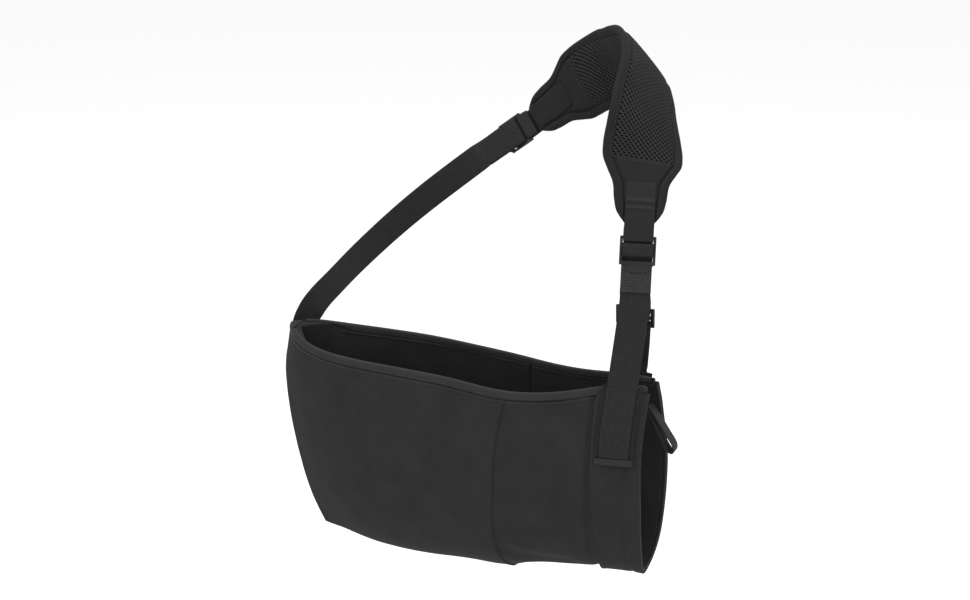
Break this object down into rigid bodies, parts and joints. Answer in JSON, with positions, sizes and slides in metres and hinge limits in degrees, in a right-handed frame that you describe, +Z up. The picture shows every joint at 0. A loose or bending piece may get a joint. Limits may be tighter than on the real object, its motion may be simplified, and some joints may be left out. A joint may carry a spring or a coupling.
{
  "type": "arm sling",
  "caption": "Worn-form arm sling: fabric pouch open at top and wrist, bound rim, cuff and thumb loop, hung on webbing with ladder locks from a curved, mesh-faced shoulder pad.",
  "frame": {"origin": "where the wearer's shoulder carries the pad, on the pad's inner face at the top of the strap loop", "axes": "+Z up as worn, +X along the forearm from the elbow to the wrist, +Y from the pouch's front panel to its back panel, towards the wearer"},
  "size_m": [0.4239, 0.2636, 0.5414],
  "materials": {
    "pouch_fabric": "matt black padded fabric",
    "binding_tape": "matt black woven tape",
    "webbing": "black woven webbing with a slight sheen",
    "pad_fabric": "matt black padded fabric",
    "spacer_mesh": "matt black open spacer mesh",
    "plastic": "smooth black moulded plastic"
  },
  "bodies": {
    "root": {"elbow_pouch": "pouch_fabric", "wrist_sleeve": "pouch_fabric", "wrist_cuff": "pouch_fabric", "front_rim_binding": "binding_tape", "back_rim_binding": "binding_tape", "elbow_corner_tape": "binding_tape", "leg_backing_strip": "binding_tape", "rear_backing_strip": "binding_tape", "leg_end_tab": "binding_tape", "thumb_loop": "binding_tape", "front_leg_strap": "webbing", "rear_leg_strap": "webbing", "elbow_strap": "webbing", "pad_front_webbing": "webbing", "pad_rear_webbing": "webbing", "shoulder_pad": "pad_fabric", "pad_mesh_outer": "spacer_mesh", "pad_mesh_inner": "spacer_mesh", "front_ladder_lock": "plastic", "rear_ladder_lock": "plastic", "leg_slider": "plastic"}
  },
  "joints": []
}
